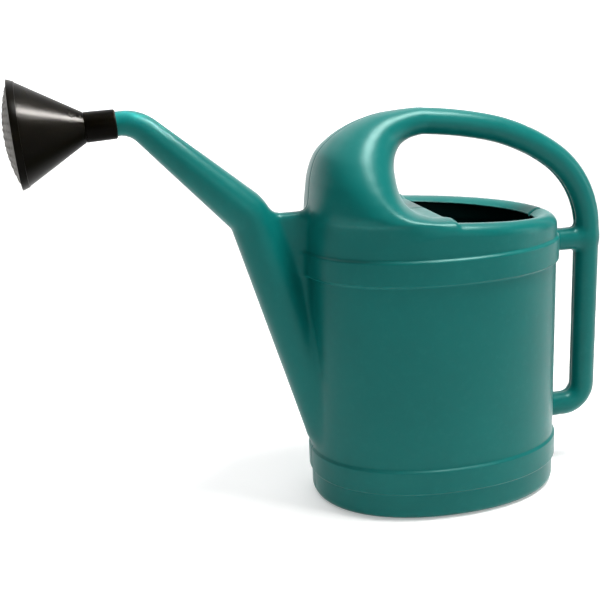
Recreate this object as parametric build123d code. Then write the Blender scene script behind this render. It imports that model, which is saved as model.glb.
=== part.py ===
from build123d import *
from math import copysign, cos, pi, radians, sin, sqrt
import os

# Watering can of about 10 litres: a one-piece blow-moulded can with a pushed-on sprinkler rose.
# Millimetres. +Z is up, the spout points along -X, and the origin is the centre of the base.
# The can is one moulding; it is cut here into regions that meet face to face.

# ---- driving dimensions -------------------------------------------------------------------
TANK_A = 128.0                # half length of the tank's plan outline
TANK_B = 94.2                 # half width
TANK_POWER = 2.147            # superellipse exponent of the plan outline
WALL = 2.2                    # moulded wall
FOOT_HEIGHT = 14.0            # height of the rounded foot
FOOT_ROUND = 8.0
BAND_PROUD = 2.5              # how far the two moulded bands stand out
BAND_CHAMFER = 2.0
LOWER_BAND = (26.4, 53.5)
UPPER_BAND = (234.3, 261.0)

RIM_HEIGHT = 290.0            # rim plane over the tank's centre
RIM_SLOPE = -0.078            # the rim falls towards the handle post
SHOULDER_ROUND = 11.0
MOUTH_A, MOUTH_B = 107.0, 70.0
LEDGE_X = -3.0                # straight front edge of the mouth
LEDGE_HEIGHT = 294.5          # the hood's ledge stands a little above the rim

HOOD_POWER = 2.1              # superellipse exponent of the hood's sections
HOOD_PIVOT = (-5.0, 327.0)    # the hood's upper sections fan about this point
# Each hood section: near and far distance from the pivot's line, and half width.
HOOD_LEVELS = {264: (-12.0, 122.9, 86.0), 278: (6.0, 122.2, 83.0), 292: (21.0, 120.6, 79.0),
               308: (28.8, 118.4, 74.5), 327: (33.2, 116.2, 66.0)}
HOOD_FAN = {20: (36.2, 104.4, 47.0), 42: (38.2, 84.0, 28.0), 66: (36.8, 66.7, 16.8),
            78: (35.9, 62.8, 14.3), 90: (35.6, 61.2, 12.8)}

GRIP_RADIUS = 12.8
POST_X = 171.5
POST_TOP = 252.0
ARCH_RADII = (100.0, 198.0, 424.0)
ARCH_TURNS = (54.0, 77.0, 90.0)
ELBOW_Z = 64.0
ELBOW_RADIUS = 22.0
BRIDGE_Z = 246.0
BRIDGE_RADIUS = 11.6
TUBE_WALL = 2.4

ROSE_TILT = 2.8               # the rose looks this many degrees below horizontal
ROSE_RIM = (-387.9, 388.1)    # centre of the rim plane, x and z
ROSE_RADIUS = 49.2
ROSE_BAND = 6.5               # width of the band round the rose's rim
BAND_END = 46.8               # radius where the band ends in a small step
CONE_START = 46.1
ROSE_WALL = 1.8
COLLAR_START, COLLAR_END = 61.4, 89.7
COLLAR_RADII = (13.8, 13.4)
FACE_DOME = 9.2               # how far the face bulges
FACE_RADIUS = 46.0
FACE_SKIRT = 4.5
FACE_WALL = 1.8
FACE_RINGS = 6
RING_PITCH = 6.8
HOLE_RADIUS = 0.9
GAP = 0.3                     # clearance between pieces that move apart

NOZZLE_RADIUS = 11.2
NOZZLE_DEPTH = 26.0           # length of the spout inside the collar
KNEE = (-181.1, 298.5)
SPOUT_BEND_RADIUS = 32.0
KNEE_RADIUS = 33.0
SPOUT_ANGLE = -43.4           # the upper spout's slope
LOWER_ANGLE = -73.1           # the lower spout's slope
LOWER_LENGTH = 232.0
SPOUT_RADII = (11.2, 13.2, 20.7, 22.0)
SPOUT_WALL = 2.2
WEB_HALF = 7.0
WEB_TOP = 298.4
WEB_BACK = -100.0             # the web is trimmed back to the tank from here
WEB_FOOT = 150.0


# ---- shared shapes ------------------------------------------------------------------------
def oval_face(a, b, z=0.0, power=TANK_POWER, centre=0.0, count=24):
    """Level face whose outline is a superellipse."""
    points = []
    for i in range(count):
        c, s = cos(2 * pi * i / count), sin(2 * pi * i / count)
        x = centre + a * copysign(abs(c) ** (2 / power), c)
        y = b * copysign(abs(s) ** (2 / power), s)
        points.append(Vector(x, y, z))
    return Face(Wire(Edge.make_spline(points, periodic=True)))


def oval_prism(a, b, low, high):
    return extrude(oval_face(a, b, low), high - low, dir=(0, 0, 1))


def side_prism(corners, half_width):
    """Prism across the can from a closed outline of x, z corners."""
    outline = Polyline(*[(x, -half_width, z) for x, z in corners], close=True)
    return extrude(Face(outline.wire()), 2 * half_width, dir=(0, 1, 0))


def slab(x_low, x_high):
    """Box that holds the whole height and width of the can between two cross planes."""
    return side_prism([(x_low, -50), (x_high, -50), (x_high, 500), (x_low, 500)], 150)


def heading(angle):
    return Vector(cos(radians(angle)), 0, sin(radians(angle)))


def on_circle(centre, radius, angle):
    return Vector(centre[0], 0, centre[1]) + heading(angle) * radius


def sweep_disc(path, radius):
    return sweep(Plane(origin=path @ 0, z_dir=path % 0) * Circle(radius), path=path)


# ---- tank ---------------------------------------------------------------------------------
def make_tank_outside():
    """Filled tank between the foot and the shoulder, with a raised band near each end."""
    levels = [(FOOT_HEIGHT, 0)]
    for low, high in (LOWER_BAND, UPPER_BAND):
        levels += [(low, 0), (low + BAND_CHAMFER, BAND_PROUD), (high - BAND_CHAMFER, BAND_PROUD), (high, 0)]
    return loft([oval_face(TANK_A + proud, TANK_B + proud, z) for z, proud in levels], ruled=True)


def make_tank_base():
    """Shallow pan with a flat underside and a rounded lower edge."""
    outside = oval_prism(TANK_A, TANK_B, 0, FOOT_HEIGHT)
    outside = fillet(outside.edges().group_by(Axis.Z)[0], FOOT_ROUND)
    inside = oval_prism(TANK_A - WALL, TANK_B - WALL, WALL, FOOT_HEIGHT)
    inside = fillet(inside.edges().group_by(Axis.Z)[0], FOOT_ROUND - WALL)
    return outside - inside


# ---- top of the tank ----------------------------------------------------------------------
def make_shoulder(height, slope, inset):
    """Solid top of the tank under a plane, with a rounded outer edge."""
    reach = 200.0
    body = oval_prism(TANK_A - inset, TANK_B - inset, UPPER_BAND[1], 340)
    top = height - inset
    under = [(-reach, 200), (reach, 200), (reach, top + slope * reach), (-reach, top - slope * reach)]
    body = body & side_prism(under, reach)
    return fillet(body.faces().sort_by(Axis.Z)[-1].edges(), SHOULDER_ROUND - inset)


def make_hood_solid(inset):
    """Loft through level sections, then through sections that fan round into the grip."""
    planes = []
    for z, sizes in HOOD_LEVELS.items():
        planes.append((Plane(origin=(HOOD_PIVOT[0], 0, z), x_dir=(-1, 0, 0), z_dir=(0, 0, 1)), sizes))
    pivot = (HOOD_PIVOT[0], 0, HOOD_PIVOT[1])
    for angle, sizes in HOOD_FAN.items():
        planes.append((Plane(origin=pivot, x_dir=heading(180 - angle), z_dir=heading(90 - angle)), sizes))
    sections = []
    for plane, (near, far, half_width) in planes:
        section = oval_face((far - near) / 2 - inset, half_width - inset, 0, HOOD_POWER, (far + near) / 2)
        sections.append(plane * section)
    return loft(sections)


# ---- handle -------------------------------------------------------------------------------
def arch_path():
    """Line of the grip: three tangent arcs from the post's top to its highest point, over the hood."""
    x, z = POST_X, POST_TOP
    edges = []
    turns = (0.0,) + ARCH_TURNS
    for radius, first, last in zip(ARCH_RADII, turns, turns[1:]):
        centre = (x - radius * cos(radians(first)), z - radius * sin(radians(first)))
        ends = [on_circle(centre, radius, angle) for angle in (first, (first + last) / 2, last)]
        edges.append(ThreePointArc(*ends))
        x, z = ends[-1].X, ends[-1].Z
    return Wire(edges)


def make_tube(path, radius):
    return sweep_disc(path, radius) - sweep_disc(path, radius - TUBE_WALL)


def elbow_path():
    centre = (POST_X - ELBOW_RADIUS, ELBOW_Z + ELBOW_RADIUS)
    arc = ThreePointArc(*[on_circle(centre, ELBOW_RADIUS, angle) for angle in (0, -45, -90)])
    return Wire([arc, Line((centre[0], 0, ELBOW_Z), (TANK_A - 12, 0, ELBOW_Z))])


# ---- spout --------------------------------------------------------------------------------
def spout_path():
    """Line of the spout from its tip inside the collar to its foot inside the tank."""
    rise, fall = heading(ROSE_TILT), heading(SPOUT_ANGLE)
    start = rose_point(COLLAR_END - NOZZLE_DEPTH, 0)
    knee = Vector(KNEE[0], 0, KNEE[1])
    bend = start + rise * ((knee - start).cross(fall).Y / rise.cross(fall).Y)
    foot = knee + heading(LOWER_ANGLE) * LOWER_LENGTH
    return FilletPolyline(start, bend, knee, foot, radius=[SPOUT_BEND_RADIUS, KNEE_RADIUS])


def spout_solids(inset):
    """Nozzle, upper and lower spout as filled shapes, each a chain of round sections."""
    path = spout_path()
    stops = [0.0]
    for edge in path.edges():
        stops.append(stops[-1] + edge.length)

    def section(distance, radius):
        place = distance / path.length
        return Plane(origin=path @ place, z_dir=path % place) * Circle(radius - inset)

    def bend(first, radii, steps=3):
        low, high = stops[first], stops[first + 1]
        return loft([section(low + (high - low) * i / steps, radii[0] + (radii[1] - radii[0]) * i / steps)
                     for i in range(steps + 1)])

    tip, throat, knee, root = SPOUT_RADII
    nozzle = loft([section(stops[0], tip), section(stops[1], tip)])
    upper = bend(1, (tip, throat)) + loft([section(stops[2], throat), section(stops[3], knee)])
    lower = bend(3, (knee, knee)) + loft([section(stops[4], knee), section(stops[5], root)])
    return nozzle, upper, lower


# ---- rose ---------------------------------------------------------------------------------
def rose_point(distance, radius):
    """Point in the middle plane, by distance behind the rose's rim plane and radius above its axis."""
    rim = Vector(ROSE_RIM[0], 0, ROSE_RIM[1])
    return rim + heading(ROSE_TILT) * distance + heading(ROSE_TILT + 90) * radius


def rose_axis():
    return Axis(rose_point(0, 0), heading(ROSE_TILT))


def turned(profile):
    """Body of revolution about the rose's axis, from distance and radius pairs."""
    outline = Polyline(*[rose_point(distance, radius) for distance, radius in profile], close=True)
    return revolve(Face(outline.wire()), rose_axis())


def make_rose_cone():
    seat = FACE_RADIUS + GAP
    start = CONE_START
    slope = (start - COLLAR_RADII[0]) / (COLLAR_START - ROSE_BAND)
    thick = ROSE_WALL * sqrt(1 + slope ** 2)
    shelf = ROSE_BAND + 1.5
    inner = start - slope * (shelf - ROSE_BAND) - thick
    seat_end = FACE_SKIRT + GAP
    return turned([(0, ROSE_RADIUS), (ROSE_BAND, BAND_END), (ROSE_BAND, start),
                   (COLLAR_START, COLLAR_RADII[0]), (COLLAR_START, COLLAR_RADII[0] - thick),
                   (shelf, inner), (seat_end, seat - FACE_WALL), (seat_end, seat), (0, seat)])


def make_rose_collar():
    bore = NOZZLE_RADIUS + GAP
    return turned([(COLLAR_START, COLLAR_RADII[0]), (COLLAR_END - 1, COLLAR_RADII[1]),
                   (COLLAR_END, COLLAR_RADII[1] - 1), (COLLAR_END, bore), (COLLAR_START, bore)])


def make_rose_face():
    """Bulging disc with a short skirt that clips inside the cone's rim, and rings of fine holes."""
    ball = (FACE_RADIUS ** 2 + FACE_DOME ** 2) / (2 * FACE_DOME)
    centre = rose_point(ball - FACE_DOME, 0)
    rim = turned([(0, 0), (0, FACE_RADIUS), (-FACE_DOME - 1, FACE_RADIUS), (-FACE_DOME - 1, 0)])
    shell = rim & (Pos(centre) * Sphere(ball)) - Pos(centre) * Sphere(ball - FACE_WALL)
    skirt = turned([(0, FACE_RADIUS), (FACE_SKIRT, FACE_RADIUS), (FACE_SKIRT, FACE_RADIUS - FACE_WALL),
                    (-1, FACE_RADIUS - FACE_WALL - 3), (-1, FACE_RADIUS - 2.4)])
    face = shell + skirt
    drill = Plane(origin=rose_point(-FACE_DOME - 2, 0), z_dir=heading(ROSE_TILT))
    spots = [(0.0, 0.0)]
    for ring in range(1, FACE_RINGS + 1):
        spots += [(ring * RING_PITCH, 360 * i / (6 * ring)) for i in range(6 * ring)]
    hole = Cylinder(HOLE_RADIUS, 2 * FACE_DOME + 6)
    return face - [drill * Pos(r * cos(radians(a)), r * sin(radians(a)), 0) * hole for r, a in spots]


# ---- assembly -----------------------------------------------------------------------------
def build():
    parts = {}
    tank_outside = make_tank_outside()
    tank_inside = oval_prism(TANK_A - WALL, TANK_B - WALL, FOOT_HEIGHT, UPPER_BAND[1])
    nozzle, upper, lower = spout_solids(0)
    nozzle_bore, upper_bore, lower_bore = spout_solids(SPOUT_WALL)
    parts["tank_base"] = make_tank_base()
    parts["tank_wall"] = tank_outside - tank_inside - lower_bore

    front = slab(-200, LEDGE_X)
    rim_inside = make_shoulder(RIM_HEIGHT, RIM_SLOPE, WALL)
    hood_outside = make_hood_solid(0) + (make_shoulder(LEDGE_HEIGHT, 0, 0) & front)
    ledge_inside = make_shoulder(LEDGE_HEIGHT, 0, WALL) & slab(-200, LEDGE_X - WALL)
    parts["hood"] = hood_outside - make_hood_solid(WALL) - ledge_inside - rim_inside
    mouth = oval_prism(MOUTH_A, MOUTH_B, 200, 340)
    parts["filler_rim"] = (make_shoulder(RIM_HEIGHT, RIM_SLOPE, 0) & slab(LEDGE_X, 200)) - rim_inside - mouth

    post = Wire([Line((POST_X, 0, ELBOW_Z + ELBOW_RADIUS), (POST_X, 0, POST_TOP))])
    parts["handle_arch"] = make_tube(arch_path(), GRIP_RADIUS) & slab(HOOD_PIVOT[0], 200)
    parts["handle_post"] = make_tube(post, GRIP_RADIUS)
    parts["handle_elbow"] = make_tube(elbow_path(), GRIP_RADIUS) - tank_outside
    bridge = Wire([Line((TANK_A - 12, 0, BRIDGE_Z), (POST_X, 0, BRIDGE_Z))])
    grip_filled = sweep_disc(post, GRIP_RADIUS) + sweep_disc(arch_path(), GRIP_RADIUS)
    parts["handle_bridge"] = make_tube(bridge, BRIDGE_RADIUS) - tank_outside - grip_filled

    parts["spout_nozzle"] = nozzle - nozzle_bore
    parts["spout_upper"] = upper - upper_bore
    parts["spout_lower"] = lower - lower_bore - tank_outside
    corners = [(KNEE[0], WEB_TOP), (WEB_BACK, WEB_TOP), (WEB_BACK, WEB_FOOT), (KNEE[0], KNEE[1] - 60)]
    web = side_prism(corners, WEB_HALF)
    web = fillet(web.edges().group_by(Axis.Z)[-1].filter_by(Axis.X), WEB_HALF - 1)
    parts["spout_web"] = web - lower - upper - tank_outside - hood_outside

    parts["rose_collar"] = make_rose_collar()
    parts["rose_cone"] = make_rose_cone()
    parts["rose_face"] = make_rose_face()
    return parts


os.makedirs("parts", exist_ok=True)
for name, shape in build().items():
    print(name, len(shape.solids()), round(shape.volume), shape.is_valid)
    export_step(shape, f"parts/{name}.step")
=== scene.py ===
import bpy
import math
import mathutils
import numpy as np
from mathutils.geometry import delaunay_2d_cdt
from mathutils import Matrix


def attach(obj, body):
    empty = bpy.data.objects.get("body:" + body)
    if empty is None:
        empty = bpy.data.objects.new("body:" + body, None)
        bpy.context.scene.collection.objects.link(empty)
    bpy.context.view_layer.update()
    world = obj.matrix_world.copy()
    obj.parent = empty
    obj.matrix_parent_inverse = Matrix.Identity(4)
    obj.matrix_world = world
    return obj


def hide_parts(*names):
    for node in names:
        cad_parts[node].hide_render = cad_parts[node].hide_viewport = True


# Watering can of about 10 litres: one blow-moulded can with a pushed-on sprinkler rose.
# Shapes are worked out in millimetres, in the frame of the CAD parts, and converted at the end.
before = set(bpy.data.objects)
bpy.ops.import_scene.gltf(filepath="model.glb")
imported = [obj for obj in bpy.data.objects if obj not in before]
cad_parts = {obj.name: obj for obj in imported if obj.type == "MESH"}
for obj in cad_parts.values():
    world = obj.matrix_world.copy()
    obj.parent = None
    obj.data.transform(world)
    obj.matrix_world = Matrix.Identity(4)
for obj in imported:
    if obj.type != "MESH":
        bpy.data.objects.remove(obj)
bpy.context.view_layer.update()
MM = 0.001

# ---- the can's driving dimensions ---------------------------------------------------------
TANK_A, TANK_B, TANK_POWER = 128.0, 94.2, 2.147       # half length, half width, roundness of the plan
WALL = 2.2
FOOT_ROUND = 8.0
BANDS = ((26.4, 53.5), (234.3, 261.0))                # lower and upper edge of each raised band
BAND_PROUD, BAND_EDGE = 2.5, 2.8
RIM_HEIGHT, RIM_SLOPE = 287.1, -0.108                 # the rim's height at x = 0, its fall to the post
RIM_SINK = 0.15                     # keeps the rim's plane under the hood in front of the mouth
RIM_BREAK = -10.0                   # in front of this x the plane sinks instead of rising
RIM_CROWN, CROWN_WIDTH = 3.2, 13.0  # the rim bulges up between the mouth's edge and the shoulder
CROWN_RISE = 0.032                  # and more so towards the post
SHOULDER_ROUND = 11.0
MOUTH_A, MOUTH_B = 107.0, 70.0      # half length and half width of the filler mouth
MOUTH_CORNER = 16.0
MOUTH_REACH = 40.0                  # the cut's outline ends this far above and below the rim
LEDGE_X, LEDGE_HEIGHT, LEDGE_DIP = -4.5, 295.0, 3.2   # where the hood's ledge ends, its height, its trough
LEDGE_ROUND = 3.0
LEDGE_LIP = 2.0                     # the mouth's straight edge lies this far before the ledge's end
LEDGE_TROUGH = (50.0, 78.0)         # half widths between which the trough's floor rises to the ridges

# The hood below the grip's hole, by height: front, widest and back x, then half width.
HOOD_LEVELS = {
    255: (-128, 0, 128, 94.2),
    264: (-127.9, -1, 127.5, 94.1),
    275: (-127.3, -5, 125, 93.5),
    285: (-126.3, -14, 116, 92),
    290: (-125.7, -23, 108, 90.2),
    292: (-125.4, -32, 95, 89),
    293.5: (-125.2, -41, 40, 87.9),
    295: (-125, -47, 8, 86.7),
    298: (-124.6, -56, -18.5, 84.5),
    302: (-124.1, -63.5, -30, 82),
    307: (-123.5, -69, -36, 79),
    313: (-122.7, -74, -39, 75.5),
    320: (-121.9, -78, -40.4, 71.2),
    327: (-121.2, -80.8, -40.8, 66.5),
    334: (-120.2, -82.4, -41, 61.4),
}
# Above it the sections fan out about a pivot, by angle: near and far reach, then half width.
HOOD_PIVOT = (-5.0, 327.0)
HOOD_POWER = 2.1
HOOD_FAN = {
    -8: (36.0, 119.0, 73.0),
    0: (35.8, 116.2, 66.5),
    12: (36.6, 111.4, 55),
    22: (37.4, 102.6, 45),
    32: (38.2, 92.6, 35.5),
    46: (38.8, 80.2, 25),
    66: (37.6, 67.7, 16.8),
    78: (36.9, 64.1, 14.2),
    90: (36.8, 62.4, 12.8),
}
HOOD_JOIN = (322.5, 331.5)          # heights over which one description fades into the other
HOOD_FOOT = 256.0                   # the hood's solid starts here, inside the tank
HOOD_POWER_FADE = (295.0, 325.0)    # heights over which the sections' roundness changes
HOOD_FILLET, HOOD_FILLET_RISE = 3.0, (270.0, 288.0)   # blend of hood and tank, growing with height
RIDGE_ROUND, RIDGE_LOSS, RIDGE_FADE = 5.5, 4.5, (298.0, 322.0)   # edge between the flank and the grip's hole
HOLE_CORNER = 24.0                  # corner of the grip's hole above the ledge

GRIP_RADIUS = 12.8                  # arch, post and elbow are one tube
POST_X, POST_TOP = 171.2, 253.2     # the upright behind the tank, up to the arch
ARCH = ((100.0, 54.0), (198.0, 77.0), (424.0, 95.0))      # radius, and the heading at its end
ARCH_FOOT = 300.5                   # below this height the tube has fillets to the tank
ELBOW_Z, ELBOW_RADIUS = 65.0, 22.0
BRIDGE_Z, BRIDGE_RADIUS = 246.0, 11.6
ROOT_DEPTH = 14.0                   # how far post and bridge reach into the tank
BRIDGE_FILLET, ROOT_FILLET = 6.0, 7.0

WEB_HALF, WEB_TOP, WEB_FOOT = 7.0, 298.4, 120.0       # half thickness, top and foot of the web
WEB_DEPTH = 20.0                    # how far the web reaches into the tank
SPOUT_FILLET = 9.0
KNEE = (-181.1, 298.5)              # where the spout's two straight runs meet
BEND_RADIUS, KNEE_RADIUS = 32.0, 33.0
SPOUT_ANGLE, LOWER_ANGLE = -43.4, -73.1
LOWER_LENGTH = 232.0                # from the knee down into the tank
SPOUT_RADII = (11.2, 13.2, 20.7, 22.0)       # at the tip, after the bend, at the knee, at the root

# ---- the rose's driving dimensions --------------------------------------------------------
ROSE_TILT = 2.8                     # the rose looks this many degrees below horizontal
ROSE_RIM = (-387.9, 388.1)          # centre of the rim's plane
ROSE_RADIUS, ROSE_BAND, ROSE_WALL = 49.2, 6.5, 1.8
BAND_END, CONE_START = 46.8, 46.1   # radii of the small step behind the rim's band
COLLAR_START, COLLAR_END = 61.4, 89.7
COLLAR_RADII = (13.8, 13.4)
NOZZLE_DEPTH = 26.0                 # how far the spout reaches into the collar
NOZZLE_SPARE = 8.0                  # the tube is built this much longer, then cut open
FACE_DOME, FACE_RADIUS, FACE_SKIRT, FACE_WALL = 9.2, 46.0, 4.5, 1.8
FACE_RINGS, RING_PITCH, HOLE_RADIUS = 6, 6.8, 0.9
GAP = 0.3                           # clearance of the push fit and of the face
NOZZLE_BASE, NOZZLE_SIDES, FACE_SIDES = 2.1, 12, 120
NOZZLE_STEPS = ((1.7, 0.08), (1.4, 0.38), (1.1, 0.45))     # radius and lift of each small nozzle's rings
CONE_SIDES, COLLAR_SIDES, SMOOTH_ANGLE = 160, 96, 50

SEAM_DEPTH, SEAM_WIDTH = 0.45, 0.9  # parting line of the mould, round the middle plane
SCAR_DEPTH = 2.4                    # where the flash was cut off the rim, beside the post
SCAR_X, SCAR_Z = (98.0, 106.0), (262.0, 270.0)
INSIDE_PAINTED_SHADE = 0.25                 # painted shade: the inside's colour, as a share of the outside's, for the little light that reaches in

# ---- the stage, in metres and degrees, with the lens in millimetres -----------------------
CAMERA_AZIMUTH, CAMERA_ELEVATION, CAMERA_ROLL = -12.526, 15.533, -2.554
CAMERA_TARGET = (-0.135551, 0, 0.209989)
CAMERA_DISTANCE, CAMERA_LENS = 1.001645, 61.0
WORLD_STRENGTH = 0.2
FLOOR_GLOW, BACKDROP_GLOW = 0.3, 0.9
FLOOR = [(-6, -4, 0), (6, -4, 0), (6, 3, 0), (-6, 3, 0)]
BACKDROP = [(-6, 3, 0), (6, 3, 0), (6, 3, 5), (-6, 3, 5)]
# Each lamp: name, place, what it points at, size, watts, colour, spread.
LAMPS = (
    ("overhead", (0.32, -0.18, 1.22), (-0.05, 0, 0.3), (0.4, 0.34), 19.5, (1, 0.99, 0.97), 180),
    ("rose_glint", (0.42, -0.02, 1.0), (-0.385, 0, 0.39), (0.12, 0.12), 0.26, (1, 0.95, 0.9), 8),
    ("ceiling", (-0.3, 1.2, 3.0), (-0.1, 1.0, 0), (4.5, 3.5), 60, (1, 1, 1), 180),
    ("front", (0.7, -2.2, 0.9), (-0.1, 0, 0.2), (1.2, 1.2), 8, (1, 1, 1), 180),
    ("side", (1.8, -0.5, 0.5), (0, 0, 0.2), (0.5, 1.2), 8, (1, 1, 1), 180),
)


# ---- fields -------------------------------------------------------------------------------
def rows_at(table, key):
    """Smooth, overshoot-free interpolation of a table's rows; returns one array for each column."""
    keys = np.array(sorted(table), float)
    rows = np.array([table[k] for k in sorted(table)], float)
    step = np.diff(keys)[:, None]
    slope = np.diff(rows, axis=0) / step
    rising = slope[1:] * slope[:-1] > 0
    mean = 2 * slope[1:] * slope[:-1] / (slope[1:] + slope[:-1] + 1e-12)
    tangent = np.vstack([slope[:1], np.where(rising, mean, 0), slope[-1:]])
    key = np.clip(key, keys[0], keys[-1])
    i = np.clip(np.searchsorted(keys, key, side="right") - 1, 0, len(keys) - 2)
    t = (key - keys[i]) / step[i, 0]
    columns = []
    for c in range(rows.shape[1]):
        a = rows[i, c]
        b = rows[i + 1, c]
        m = tangent[i, c] * step[i, 0]
        n = tangent[i + 1, c] * step[i, 0]
        columns.append(a + t * (m + t * (3 * (b - a) - 2 * m - n + t * (m + n - 2 * (b - a)))))
    return columns


def ramp(value, low, high):
    t = np.clip((value - low) / (high - low), 0, 1)
    return t * t * (3 - 2 * t)


def join(a, b, reach):
    """Union of two shapes with a soft fillet."""
    h = np.clip(0.5 + 0.5 * (b - a) / reach, 0, 1)
    return b + (a - b) * h - reach * h * (1 - h)


def trim(a, b, radius):
    """What two shapes share, with the edge between them rounded."""
    corner = np.hypot(np.maximum(a + radius, 0), np.maximum(b + radius, 0))
    return np.minimum(np.maximum(a, b), -radius) + corner


def oval(x, y, half_x, half_y, power):
    """Distance, to first order, from a superellipse."""
    u = np.abs(x) / half_x + 1e-9
    v = np.abs(y) / half_y + 1e-9
    g = (u ** power + v ** power) ** (1 / power)
    return (g - 1) * g ** (power - 1) / np.hypot(u ** (power - 1) / half_x, v ** (power - 1) / half_y)


def tank(x, y, z):
    wall = oval(x, y, TANK_A, TANK_B, TANK_POWER)
    for low, high in BANDS:
        wall = wall - BAND_PROUD * ramp(z, low, low + BAND_EDGE) * ramp(-z, -high, -high + BAND_EDGE)
    wall = trim(wall, -z, FOOT_ROUND)
    level = RIM_HEIGHT + RIM_SLOPE * np.maximum(x, RIM_BREAK) - RIM_SINK * np.maximum(RIM_BREAK - x, 0)
    inward = np.clip(oval(x, y, MOUTH_A, MOUTH_B, TANK_POWER) / CROWN_WIDTH, 0, 1)
    level = level + (RIM_CROWN + CROWN_RISE * np.clip(x, 0, TANK_A)) * inward * (2 - inward)
    return trim(wall, z - level, SHOULDER_ROUND)


def hood_below(x, y, z):
    """The hood up to the pivot's height: the tank's front closes in round the grip's hole."""
    front, widest, back, half = rows_at(HOOD_LEVELS, z)
    span = np.where(x < widest, widest - front, back - widest)
    power = TANK_POWER + (HOOD_POWER - TANK_POWER) * ramp(z, *HOOD_POWER_FADE)
    flank = oval(x - widest, y, span, half, power)
    floor = LEDGE_HEIGHT - LEDGE_DIP * (1 - ramp(np.abs(y), *LEDGE_TROUGH))
    hole = trim(HOOD_PIVOT[0] - HOOD_FAN[0][0] - x, floor - z, HOLE_CORNER)
    edge = RIDGE_ROUND - RIDGE_LOSS * ramp(z, *RIDGE_FADE)
    body = trim(trim(flank, -hole, edge), x - LEDGE_X, LEDGE_ROUND)
    return np.maximum(body, HOOD_FOOT - z)


def hood_above(x, y, z):
    """The hood over the pivot: sections that shrink to the grip as they turn."""
    reach = np.hypot(x - HOOD_PIVOT[0], z - HOOD_PIVOT[1])
    angle = np.degrees(np.arctan2(z - HOOD_PIVOT[1], HOOD_PIVOT[0] - x))
    near, far, half = rows_at(HOOD_FAN, angle)
    return oval(reach - (near + far) / 2, y, (far - near) / 2, half, HOOD_POWER)


def arc_reach(x, z, centre, radius, first, last):
    """In the middle plane, the distance from an arc, and the angle of its nearest point."""
    low = math.radians(min(first, last))
    high = math.radians(max(first, last))
    middle = (low + high) / 2
    angle = np.arctan2(z - centre[1], x - centre[0])
    angle = (angle - middle + math.pi) % (2 * math.pi) - math.pi + middle
    held = np.clip(angle, low, high)
    gap = np.hypot(x - centre[0] - radius * np.cos(held), z - centre[1] - radius * np.sin(held))
    return gap, held


def line_reach(x, z, start, end):
    """In the middle plane, the distance from a straight run, and the fraction along it."""
    dx = end[0] - start[0]
    dz = end[1] - start[1]
    t = np.clip(((x - start[0]) * dx + (z - start[1]) * dz) / (dx * dx + dz * dz), 0, 1)
    return np.hypot(x - start[0] - t * dx, z - start[1] - t * dz), t


def handle(x, y, z):
    """Grip, post and elbow as one bent tube, and the short bridge to the tank."""
    at = np.array([POST_X, POST_TOP])
    first = 0.0
    gaps = []
    for radius, last in ARCH:
        centre = at - radius * heading(first)
        gaps.append(arc_reach(x, z, centre, radius, first, last)[0])
        at = centre + radius * heading(last)
        first = last
    turn = (POST_X - ELBOW_RADIUS, ELBOW_Z + ELBOW_RADIUS)
    root = TANK_A - ROOT_DEPTH
    gaps.append(line_reach(x, z, (POST_X, turn[1]), (POST_X, POST_TOP))[0])
    gaps.append(arc_reach(x, z, turn, ELBOW_RADIUS, -90, 0)[0])
    gaps.append(line_reach(x, z, (turn[0], ELBOW_Z), (root, ELBOW_Z))[0])
    grip = np.hypot(np.minimum.reduce(gaps), y) - GRIP_RADIUS
    bridge = np.hypot(line_reach(x, z, (root, BRIDGE_Z), (POST_X, BRIDGE_Z))[0], y) - BRIDGE_RADIUS
    return join(grip, bridge, BRIDGE_FILLET)


def heading(angle):
    return np.array([math.cos(math.radians(angle)), math.sin(math.radians(angle))])


def quarter_right(direction):
    return np.array([direction[1], -direction[0]])


def spout_tip():
    return np.array(ROSE_RIM) + heading(ROSE_TILT) * (COLLAR_END - NOZZLE_DEPTH)


def spout(x, y, z):
    """Tube along a line, a bend, a line, a knee and a line, getting wider on the way down."""
    rise = heading(ROSE_TILT)
    fall = heading(SPOUT_ANGLE)
    low = heading(LOWER_ANGLE)
    tip, throat, elbow, root = SPOUT_RADII
    start = spout_tip()
    knee = np.array(KNEE)
    gap = knee - start
    across = rise[0] * fall[1] - rise[1] * fall[0]
    bend = start + rise * ((gap[0] * fall[1] - gap[1] * fall[0]) / across)
    cut = BEND_RADIUS * math.tan(math.radians(ROSE_TILT - SPOUT_ANGLE) / 2)
    cut_knee = KNEE_RADIUS * math.tan(math.radians(SPOUT_ANGLE - LOWER_ANGLE) / 2)
    bend_in = bend - rise * cut
    bend_out = bend + fall * cut
    knee_in = knee - fall * cut_knee
    knee_out = knee + low * cut_knee
    tubes = []
    reach = line_reach(x, z, start - rise * NOZZLE_SPARE, bend_in)[0]
    tubes.append(np.hypot(reach, y) - tip)
    centre = bend_in + quarter_right(rise) * BEND_RADIUS
    reach, angle = arc_reach(x, z, centre, BEND_RADIUS, 90 + SPOUT_ANGLE, 90 + ROSE_TILT)
    t = (math.radians(90 + ROSE_TILT) - angle) / math.radians(ROSE_TILT - SPOUT_ANGLE)
    tubes.append(np.hypot(reach, y) - tip - (throat - tip) * t)
    reach, t = line_reach(x, z, bend_out, knee_in)
    tubes.append(np.hypot(reach, y) - throat - (elbow - throat) * t)
    centre = knee_in + quarter_right(fall) * KNEE_RADIUS
    reach = arc_reach(x, z, centre, KNEE_RADIUS, 90 + LOWER_ANGLE, 90 + SPOUT_ANGLE)[0]
    tubes.append(np.hypot(reach, y) - elbow)
    reach, t = line_reach(x, z, knee_out, knee + low * LOWER_LENGTH)
    tubes.append(np.hypot(reach, y) - elbow - (root - elbow) * t)
    return np.minimum.reduce(tubes)


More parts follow.
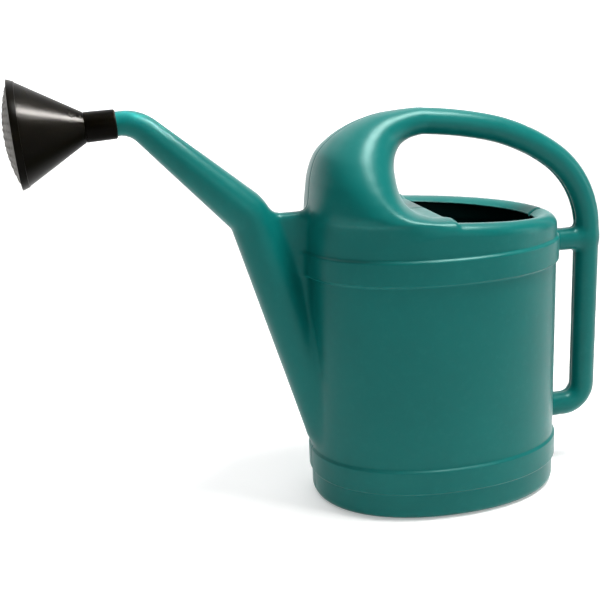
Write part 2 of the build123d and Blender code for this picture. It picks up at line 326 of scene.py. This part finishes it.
def web(x, y, z):
    """Flat hollow web that fills the corner between the spout and the tank."""
    low = heading(LOWER_ANGLE)
    behind = (z - KNEE[1]) * low[0] - (x - KNEE[0]) * low[1]
    plate = trim(np.abs(y) - WEB_HALF, z - WEB_TOP, WEB_HALF - 0.5)
    return np.maximum.reduce([plate, -behind, x + TANK_A - WEB_DEPTH, WEB_FOOT - z])


def can_field(points):
    """Signed distance, to first order, from the can's outside: negative inside."""
    x, y, z = points
    pivot_x = HOOD_PIVOT[0]
    low = hood_below(x, y, z)
    hood = low + (hood_above(x, y, z) - low) * ramp(z, *HOOD_JOIN)
    hood = np.where((x > pivot_x) & (z > HOOD_JOIN[0]), 1e3, hood)
    tube = handle(x, y, z)
    arch = np.where((x > pivot_x) & (z >= ARCH_FOOT), tube, 1e3)
    roots = np.where(z < ARCH_FOOT, tube, 1e3)
    body = join(tank(x, y, z), hood, 0.01 + HOOD_FILLET * ramp(z, *HOOD_FILLET_RISE))
    body = np.minimum(body, arch)
    body = join(body, roots, ROOT_FILLET)
    body = join(body, join(spout(x, y, z), web(x, y, z), SPOUT_FILLET), SPOUT_FILLET)
    scar = ramp(x, *SCAR_X) * ramp(z, *SCAR_Z)
    depth = SEAM_DEPTH + (SCAR_DEPTH - SEAM_DEPTH) * scar
    return body + depth * np.exp(-(y / (SEAM_WIDTH + 0.6 * scar)) ** 2)


def mouth_field(points):
    """Negative over the filler mouth: an oval with a straight front edge and rounded corners."""
    x, y, z = points
    ring = oval(x, y, MOUTH_A, MOUTH_B, TANK_POWER)
    cut = trim(ring, LEDGE_X - LEDGE_LIP - x, MOUTH_CORNER)
    return np.where(np.abs(z - RIM_HEIGHT) < MOUTH_REACH, cut, 1e3)


def nozzle_field(points):
    """Negative beyond the spout's open end."""
    tip = spout_tip()
    rise = heading(ROSE_TILT)
    return (points[0] - tip[0]) * rise[0] + (points[2] - tip[1]) * rise[1]


# ---- skin from a field --------------------------------------------------------------------
def lines(*stretches):
    """Grid lines over stretches given as start, end and largest step."""
    values = []
    for start, end, step in stretches:
        values += list(np.linspace(start, end, max(2, round((end - start) / step) + 1)))
    return np.array(sorted(set(np.round(values, 4))))


def gradient(field, points, reach=0.05):
    slopes = []
    for axis in range(3):
        step = np.zeros((3, 1))
        step[axis] = reach
        slopes.append((field(points + step) - field(points - step)) / (2 * reach))
    return np.array(slopes)


def pull(field, points, times, most=3.0):
    """Move points onto a field's zero surface."""
    for _ in range(times):
        slope = gradient(field, points)
        move = field(points) / np.maximum((slope ** 2).sum(axis=0), 0.05)
        length = np.maximum(np.abs(move) * np.sqrt((slope ** 2).sum(axis=0)), 1e-9)
        points = points - slope * move * np.minimum(1, most / length)
    return points


def net(xs, ys, zs, values):
    """Surface net of a sampled field: a vertex in each crossed cell, a quad on each crossed edge."""
    shape = (len(xs) - 1, len(ys) - 1, len(zs) - 1)
    total = np.zeros((3, shape[0] * shape[1] * shape[2]))
    count = np.zeros(total.shape[1])
    quads = []
    inside = values < 0
    lines_of = (xs, ys, zs)
    for axis in range(3):
        lead = np.moveaxis(inside, axis, 0)
        crossed = np.moveaxis(lead[1:] != lead[:-1], 0, axis)
        index = np.array(np.nonzero(crossed))
        ahead = index.copy()
        ahead[axis] += 1
        f0 = values[tuple(index)]
        f1 = values[tuple(ahead)]
        t = f0 / (f0 - f1)
        place = np.array([lines_of[a][index[a]] for a in range(3)])
        place[axis] += t * (lines_of[axis][ahead[axis]] - lines_of[axis][index[axis]])
        b = (axis + 1) % 3
        c = (axis + 2) % 3
        ring = []
        for back_b, back_c in ((1, 1), (0, 1), (0, 0), (1, 0)):
            cell = index.copy()
            cell[b] -= back_b
            cell[c] -= back_c
            flat = np.ravel_multi_index(tuple(cell), shape)
            ring.append(flat)
            np.add.at(count, flat, 1)
            for a in range(3):
                np.add.at(total[a], flat, place[a])
        ring = np.array(ring)
        quads.append(np.where(f0 < 0, ring, ring[::-1]))
    quads = np.concatenate(quads, axis=1)
    used, quads = np.unique(quads, return_inverse=True)
    return total[:, used] / count[used], quads.reshape(4, -1).T


def cut_open(field, cutter, points, quads):
    """Take away the skin where the cutter is negative, with the open edge pulled onto its outline."""
    side = cutter(points)
    quads = quads[(side[quads] >= 0).any(axis=1)]
    moved = np.zeros(points.shape[1], bool)
    moved[np.unique(quads)] = True
    moved &= side < 0
    edge = points[:, moved]
    for _ in range(8):
        edge = pull(cutter, edge, 1, 4.0)
        edge = pull(field, edge, 1, 4.0)
    points = points.copy()
    points[:, moved] = edge
    return points, quads


def open_edges(quads):
    """Directed edges that only one quad uses."""
    heads = np.roll(quads, -1, axis=1).ravel()
    tails = quads.ravel()
    size = quads.max() + 1
    forward = tails.astype(np.int64) * size + heads
    backward = heads.astype(np.int64) * size + tails
    lone = ~np.isin(forward, backward)
    return tails[lone], heads[lone]


def thicken(points, quads, normals, wall):
    """Add the inside of the wall and the lips that close it."""
    count = points.shape[1]
    tails, heads = open_edges(quads)
    inner = points - normals * wall
    lips = np.array([heads, tails, tails + count, heads + count]).T
    return np.hstack([points, inner]), np.vstack([quads, quads[:, ::-1] + count, lips])


def drop_unused(points, quads):
    used, quads = np.unique(quads, return_inverse=True)
    return points[:, used], quads.reshape(-1, 4)


def can_skin():
    """The can's wall as points, quads and normals, with 1 for each quad on the inside."""
    xs = lines((-350, -150, 3.6), (-150, 190, 3.5))
    zs = lines((-2, 12, 2), (12, 24, 4), (24, 30, 1), (30, 50, 5), (50, 56, 1), (56, 80, 3.5),
               (80, 230, 6), (230, 238, 1), (238, 256, 4), (256, 264, 1), (264, 300, 2.2),
               (300, 425, 3.5))
    half = lines((-101, -2, 3.5), (-2, -0.4, 0.8))
    grid = np.meshgrid(xs, half, zs, indexing="ij")
    values = can_field(grid)
    values = np.concatenate([values, values[:, ::-1]], axis=1)
    points, quads = net(xs, np.concatenate([half, -half[::-1]]), zs, values)
    points = pull(can_field, points, 5)
    for cutter in (mouth_field, nozzle_field):
        points, quads = cut_open(can_field, cutter, points, quads)
    points, quads = drop_unused(points, quads)
    slope = gradient(can_field, points, 0.3)
    normals = slope / np.sqrt((slope ** 2).sum(axis=0))
    count = len(quads)
    points, quads = thicken(points, quads, normals, WALL)
    order = np.arange(len(quads))
    inner = ((order >= count) & (order < 2 * count)).astype(int)
    return points, quads, np.hstack([normals, -normals]), inner


# ---- meshes -------------------------------------------------------------------------------
def mesh_object(name, points, faces, material, normals=None):
    """Object from points in millimetres, as rows."""
    mesh = bpy.data.meshes.new(name)
    mesh.from_pydata((np.asarray(points) * MM).tolist(), [], [list(map(int, face)) for face in faces])
    mesh.validate()
    mesh.polygons.foreach_set("use_smooth", [True] * len(mesh.polygons))
    if normals is not None:
        mesh.normals_split_custom_set_from_vertices(np.asarray(normals).tolist())
    mesh.materials.append(material)
    piece = bpy.data.objects.new(name, mesh)
    bpy.context.scene.collection.objects.link(piece)
    return piece


def rose_place(distance, across, up):
    """A place on the rose: behind its rim plane, sideways, and up from its axis."""
    rise = heading(ROSE_TILT)
    x = ROSE_RIM[0] + rise[0] * distance - rise[1] * up
    z = ROSE_RIM[1] + rise[1] * distance + rise[0] * up
    return x, across, z


def rounded(profile, radius, steps=3):
    """Round a closed profile's corners; each corner's radius shrinks to fit its sides."""
    corners = np.array(profile, float)
    out = []
    for i, corner in enumerate(corners):
        before = corners[i - 1] - corner
        after = corners[(i + 1) % len(corners)] - corner
        size = min(radius, np.hypot(*before) * 0.45, np.hypot(*after) * 0.45)
        a = corner + before / np.hypot(*before) * size
        b = corner + after / np.hypot(*after) * size
        for s in range(steps + 1):
            t = s / steps
            out.append((1 - t) ** 2 * a + 2 * t * (1 - t) * corner + t * t * b)
    return out


def turned(profile, sides):
    """Points and quads of a closed profile of distance and radius pairs turned about the rose's axis."""
    points = []
    faces = []
    count = len(profile)
    for s in range(sides):
        angle = 2 * math.pi * s / sides
        points += [rose_place(d, r * math.sin(angle), r * math.cos(angle)) for d, r in profile]
        ahead = (s + 1) % sides
        for i in range(count):
            j = (i + 1) % count
            faces.append((s * count + i, s * count + j, ahead * count + j, ahead * count + i))
    return points, faces


def rose_cone(material):
    """Cone with a rim band, a shelf for the face inside it, and a wall of even thickness."""
    seat = FACE_RADIUS + GAP
    slope = (CONE_START - COLLAR_RADII[0]) / (COLLAR_START - ROSE_BAND)
    thick = ROSE_WALL * math.sqrt(1 + slope ** 2)
    shelf = ROSE_BAND + 1.5
    profile = [
        (0, ROSE_RADIUS),
        (ROSE_BAND, BAND_END),
        (ROSE_BAND, CONE_START),
        (COLLAR_START, COLLAR_RADII[0]),
        (COLLAR_START, COLLAR_RADII[0] - thick),
        (shelf, CONE_START - slope * (shelf - ROSE_BAND) - thick),
        (FACE_SKIRT + GAP, seat - FACE_WALL),
        (FACE_SKIRT + GAP, seat),
        (0, seat),
    ]
    points, faces = turned(rounded(profile, 0.5), CONE_SIDES)
    return mesh_object("rose_cone_skin", points, faces, material)


def rose_collar(material):
    """Sleeve that slides over the spout's end, with a chamfered mouth."""
    bore = SPOUT_RADII[0] + GAP
    profile = [
        (COLLAR_START, COLLAR_RADII[0]),
        (COLLAR_END - 1, COLLAR_RADII[1]),
        (COLLAR_END, COLLAR_RADII[1] - 1),
        (COLLAR_END, bore),
        (COLLAR_START, bore),
    ]
    points, faces = turned(rounded(profile, 1.2), COLLAR_SIDES)
    return mesh_object("rose_collar_skin", points, faces, material)


def circle(radius, sides, centre=(0.0, 0.0)):
    """Points on a circle in the plane."""
    turns = [2 * math.pi * s / sides for s in range(sides)]
    return [(centre[0] + radius * math.cos(t), centre[1] + radius * math.sin(t)) for t in turns]


def hole_centres():
    """Centres of the face's holes: one in the middle, then rings of 6, 12, 18 and so on."""
    centres = [(0.0, 0.0)]
    for ring in range(1, FACE_RINGS + 1):
        centres += circle(ring * RING_PITCH, 6 * ring)
    return centres


def loop_edges(first, sides):
    return [(first + s, first + (s + 1) % sides) for s in range(sides)]


def perforated_disc(centres):
    """Flat disc with a round gap at each centre: points, triangles, and where each input point went."""
    flat = []
    edges = []
    for centre in centres:
        edges += loop_edges(len(flat), NOZZLE_SIDES)
        flat += circle(NOZZLE_BASE, NOZZLE_SIDES, centre)
    edges += loop_edges(len(flat), FACE_SIDES)
    flat += circle(FACE_RADIUS, FACE_SIDES)
    result = delaunay_2d_cdt([mathutils.Vector(p) for p in flat], edges, [], 1, 1e-4)
    plane = np.array([tuple(p) for p in result[0]])
    places = {original: i for i, merged in enumerate(result[3]) for original in merged}
    triangles = []
    for face in result[2]:
        middle = plane[list(face)].mean(axis=0)
        if np.hypot(*(np.array(centres) - middle).T).min() > NOZZLE_BASE * 0.9:
            triangles.append(tuple(face))
    return plane, triangles, places


def dome(x, y, lift):
    """A place on the face's bulge, or above it by the lift."""
    ball = (FACE_RADIUS ** 2 + FACE_DOME ** 2) / (2 * FACE_DOME)
    drop = ball - math.sqrt(ball ** 2 - math.hypot(x, y) ** 2)
    return rose_place(-FACE_DOME + drop - lift, x, y)


def bridge_loops(loops, sides):
    """Quads between loops of point numbers, each loop joined to the next."""
    faces = []
    for upper, lower in zip(loops, loops[1:]):
        for s in range(sides):
            t = (s + 1) % sides
            faces.append((upper[s], lower[s], lower[t], upper[t]))
    return faces


def new_loop(points, places):
    """Add a loop's places to the points and return their numbers."""
    first = len(points)
    points += places
    return list(range(first, len(points)))


def rose_face(material):
    """Perforated dome with a small nozzle round each hole and a skirt that clips into the cone."""
    centres = hole_centres()
    plane, triangles, places = perforated_disc(centres)
    count = len(plane)
    points = [dome(x, y, 0.0) for x, y in plane]
    points += [dome(x, y, -FACE_WALL) for x, y in plane]
    faces = [face[::-1] for face in triangles]
    faces += [tuple(count + v for v in face) for face in triangles]
    rings = NOZZLE_STEPS + ((HOLE_RADIUS, 0.25), (HOLE_RADIUS, -FACE_WALL))
    for n, centre in enumerate(centres):
        loops = [[places[n * NOZZLE_SIDES + s] for s in range(NOZZLE_SIDES)]]
        for radius, lift in rings:
            ring = [dome(x, y, lift) for x, y in circle(radius, NOZZLE_SIDES, centre)]
            loops.append(new_loop(points, ring))
        loops.append([count + v for v in loops[0]])
        faces += bridge_loops(loops, NOZZLE_SIDES)
    first = len(centres) * NOZZLE_SIDES
    loops = [[places[first + s] for s in range(FACE_SIDES)]]
    inside = FACE_RADIUS - FACE_WALL
    for distance, radius in ((0.2, FACE_RADIUS), (FACE_SKIRT, FACE_RADIUS), (FACE_SKIRT, inside)):
        ring = [rose_place(distance, x, y) for x, y in circle(radius, FACE_SIDES)]
        loops.append(new_loop(points, ring))
    loops.append([count + v for v in loops[0]])
    faces += [(a, d, c, b) for a, b, c, d in bridge_loops(loops, FACE_SIDES)]
    return mesh_object("rose_face_skin", points, faces, material)


# ---- materials ----------------------------------------------------------------------------
def new_material(name):
    material = bpy.data.materials.new(name)
    material.use_nodes = True
    nodes = material.node_tree.nodes
    return material, nodes, material.node_tree.links, nodes["Principled BSDF"]


def noise(nodes, links, where, scale, detail, rough=0.5):
    node = nodes.new("ShaderNodeTexNoise")
    node.inputs["Scale"].default_value = scale
    node.inputs["Detail"].default_value = detail
    node.inputs["Roughness"].default_value = rough
    links.new(where, node.inputs["Vector"])
    return node.outputs["Fac"]


def spread(nodes, links, value, low, high, to_low, to_high):
    node = nodes.new("ShaderNodeMapRange")
    node.inputs["From Min"].default_value = low
    node.inputs["From Max"].default_value = high
    node.inputs["To Min"].default_value = to_low
    node.inputs["To Max"].default_value = to_high
    links.new(value, node.inputs["Value"])
    return node.outputs["Result"]


def mixed(nodes, links, fac, first, second):
    node = nodes.new("ShaderNodeMix")
    node.data_type = "RGBA"
    links.new(fac, node.inputs["Factor"])
    for socket, colour in ((node.inputs["A"], first), (node.inputs["B"], second)):
        if hasattr(colour, "is_linked"):
            links.new(colour, socket)
        else:
            socket.default_value = (*colour, 1)
    return node.outputs["Result"]


def bump(nodes, links, height, distance, strength, under=None):
    node = nodes.new("ShaderNodeBump")
    node.inputs["Distance"].default_value = distance
    node.inputs["Strength"].default_value = strength
    links.new(height, node.inputs["Height"])
    if under is not None:
        links.new(under, node.inputs["Normal"])
    return node.outputs["Normal"]


def seam_mask(nodes, links, where):
    """1 on the parting line round the middle plane, 0 elsewhere."""
    split = nodes.new("ShaderNodeSeparateXYZ")
    links.new(where, split.inputs["Vector"])
    away = nodes.new("ShaderNodeMath")
    away.operation = "ABSOLUTE"
    links.new(split.outputs["Y"], away.inputs[0])
    return spread(nodes, links, away.outputs["Value"], 0.0004, 0.0011, 1, 0)


def moulded_green(name, shade):
    """Satin blow-moulded polyethylene: cloudy pigment, faint flow, fine grain, small scuffs and painted
    shade along the parting line. Shade scales the colours; below 1 it is painted shade.
    """
    material, nodes, links, shader = new_material(name)
    where = nodes.new("ShaderNodeTexCoord").outputs["Object"]
    cloud = noise(nodes, links, where, 9, 4)
    fine = noise(nodes, links, where, 140, 6, 0.6)
    grain = noise(nodes, links, where, 900, 2)
    ripple = noise(nodes, links, where, 38, 2)
    deep = (0.001 * shade, 0.099 * shade, 0.091 * shade)
    light = (0.002 * shade, 0.117 * shade, 0.107 * shade)
    colour = mixed(nodes, links, spread(nodes, links, cloud, 0.3, 0.7, 0, 1), deep, light)
    dust = spread(nodes, links, fine, 0.52, 0.8, 0, 0.22)
    colour = mixed(nodes, links, dust, colour, (0.015 * shade, 0.155 * shade, 0.142 * shade))
    # Painted shade: the parting line's groove is drawn darker, as shade falls in it.
    seam = seam_mask(nodes, links, where)
    painted_seam_shade = spread(nodes, links, seam, 0, 1, 0, 0.55)
    colour = mixed(nodes, links, painted_seam_shade, colour, (0.002, 0.045, 0.040))
    links.new(colour, shader.inputs["Base Color"])
    links.new(spread(nodes, links, fine, 0.3, 0.75, 0.30, 0.38), shader.inputs["Roughness"])
    shader.inputs["Specular IOR Level"].default_value = 0.21
    shader.inputs["Specular Tint"].default_value = (0.6, 1, 0.95, 1)
    waves = bump(nodes, links, ripple, 0.0012, 0.12)
    links.new(bump(nodes, links, grain, 0.00003, 0.25, waves), shader.inputs["Normal"])
    return material


def rose_black():
    """Glossy injection-moulded black with a warm tone and a slightly uneven polish."""
    material, nodes, links, shader = new_material("rose_black")
    where = nodes.new("ShaderNodeTexCoord").outputs["Object"]
    cloud = noise(nodes, links, where, 45, 4)
    colour = mixed(nodes, links, cloud, (0.0007, 0.0005, 0.0001), (0.0014, 0.0011, 0.0004))
    links.new(colour, shader.inputs["Base Color"])
    shader.inputs["Specular IOR Level"].default_value = 0.03
    links.new(spread(nodes, links, cloud, 0.3, 0.75, 0.27, 0.31), shader.inputs["Roughness"])
    links.new(bump(nodes, links, cloud, 0.00002, 0.15), shader.inputs["Normal"])
    return material


def face_grey():
    """Matt grey moulding with limescale specks and darker and lighter cloudy patches."""
    material, nodes, links, shader = new_material("face_grey")
    where = nodes.new("ShaderNodeTexCoord").outputs["Object"]
    cloud = noise(nodes, links, where, 110, 5, 0.6)
    specks = noise(nodes, links, where, 700, 3)
    patches = spread(nodes, links, cloud, 0.35, 0.65, 0, 1)
    colour = mixed(nodes, links, patches, (0.10, 0.095, 0.085), (0.20, 0.19, 0.175))
    scale = spread(nodes, links, specks, 0.6, 0.75, 0, 0.6)
    colour = mixed(nodes, links, scale, colour, (0.40, 0.39, 0.36))
    links.new(colour, shader.inputs["Base Color"])
    links.new(spread(nodes, links, cloud, 0.3, 0.7, 0.55, 0.75), shader.inputs["Roughness"])
    links.new(bump(nodes, links, specks, 0.0001, 0.5), shader.inputs["Normal"])
    return material


def stage_white(name, glow):
    """Plain white card that glows a little, so that it reads as white."""
    material, nodes, links, shader = new_material(name)
    where = nodes.new("ShaderNodeTexCoord").outputs["Object"]
    fine = noise(nodes, links, where, 60, 3)
    colour = mixed(nodes, links, fine, (0.78, 0.78, 0.78), (0.80, 0.80, 0.80))
    links.new(colour, shader.inputs["Base Color"])
    shader.inputs["Roughness"].default_value = 0.9
    shader.inputs["Specular IOR Level"].default_value = 0.1
    shader.inputs["Emission Color"].default_value = (1, 1, 1, 1)
    shader.inputs["Emission Strength"].default_value = glow
    return material


# ---- stage --------------------------------------------------------------------------------
def add_camera():
    """View from the front left, a little above, turned slightly about the view axis."""
    azimuth = math.radians(CAMERA_AZIMUTH)
    elevation = math.radians(CAMERA_ELEVATION)
    roll = math.radians(CAMERA_ROLL)
    flat = math.cos(elevation)
    back = mathutils.Vector((math.sin(azimuth) * flat, -math.cos(azimuth) * flat, math.sin(elevation)))
    level = mathutils.Vector((math.cos(azimuth), math.sin(azimuth), 0))
    upward = back.cross(level)
    right = level * math.cos(roll) + upward * math.sin(roll)
    up = upward * math.cos(roll) - level * math.sin(roll)
    data = bpy.data.cameras.new("camera")
    data.sensor_width = 36
    data.lens = CAMERA_LENS
    camera = bpy.data.objects.new("camera", data)
    turn = mathutils.Matrix((right, up, back)).transposed().to_4x4()
    place = mathutils.Vector(CAMERA_TARGET) + back * CAMERA_DISTANCE
    camera.matrix_world = mathutils.Matrix.Translation(place) @ turn
    bpy.context.scene.collection.objects.link(camera)
    bpy.context.scene.camera = camera


def add_light(name, place, aim, size, power, colour, beam):
    data = bpy.data.lights.new(name, "AREA")
    data.shape = "RECTANGLE"
    data.size, data.size_y = size
    data.energy = power
    data.color = colour
    data.spread = math.radians(beam)
    light = bpy.data.objects.new(name, data)
    light.location = place
    direction = mathutils.Vector(aim) - mathutils.Vector(place)
    light.rotation_euler = direction.to_track_quat("-Z", "Y").to_euler()
    bpy.context.scene.collection.objects.link(light)


def add_world():
    world = bpy.data.worlds.new("studio")
    world.use_nodes = True
    shade = world.node_tree.nodes["Background"]
    shade.inputs["Color"].default_value = (1, 1, 1, 1)
    shade.inputs["Strength"].default_value = WORLD_STRENGTH
    bpy.context.scene.world = world
    bpy.context.scene.view_settings.view_transform = "Standard"


def add_sheet(name, corners, material):
    mesh = bpy.data.meshes.new(name)
    mesh.from_pydata(corners, [], [(0, 1, 2, 3)])
    mesh.materials.append(material)
    sheet = bpy.data.objects.new(name, mesh)
    bpy.context.scene.collection.objects.link(sheet)


# ---- assembly -----------------------------------------------------------------------------
add_camera()
add_world()
add_sheet("floor", FLOOR, stage_white("floor_white", FLOOR_GLOW))
add_sheet("backdrop", BACKDROP, stage_white("backdrop_white", BACKDROP_GLOW))
for lamp in LAMPS:
    add_light(*lamp)

points, quads, normals, inner = can_skin()
can = mesh_object("can_skin", points.T, quads, moulded_green("moulded_green", 1), normals.T)
# The inside's faces get a darker copy of the material: painted shade.
can.data.materials.append(moulded_green("moulded_green_inside_painted_shade", INSIDE_PAINTED_SHADE))
can.data.polygons.foreach_set("material_index", inner)
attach(can, "can")
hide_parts(*[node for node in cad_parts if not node.startswith("rose_")])

black = rose_black()
for piece, body, slot in ((rose_cone(black), "rose_cone", "rose_plastic"),
                          (rose_collar(black), "rose_collar", "rose_plastic"),
                          (rose_face(face_grey()), "rose_face", "face_plastic")):
    piece.data.set_sharp_from_angle(angle=math.radians(SMOOTH_ANGLE))
    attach(piece, body)
    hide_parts(body)
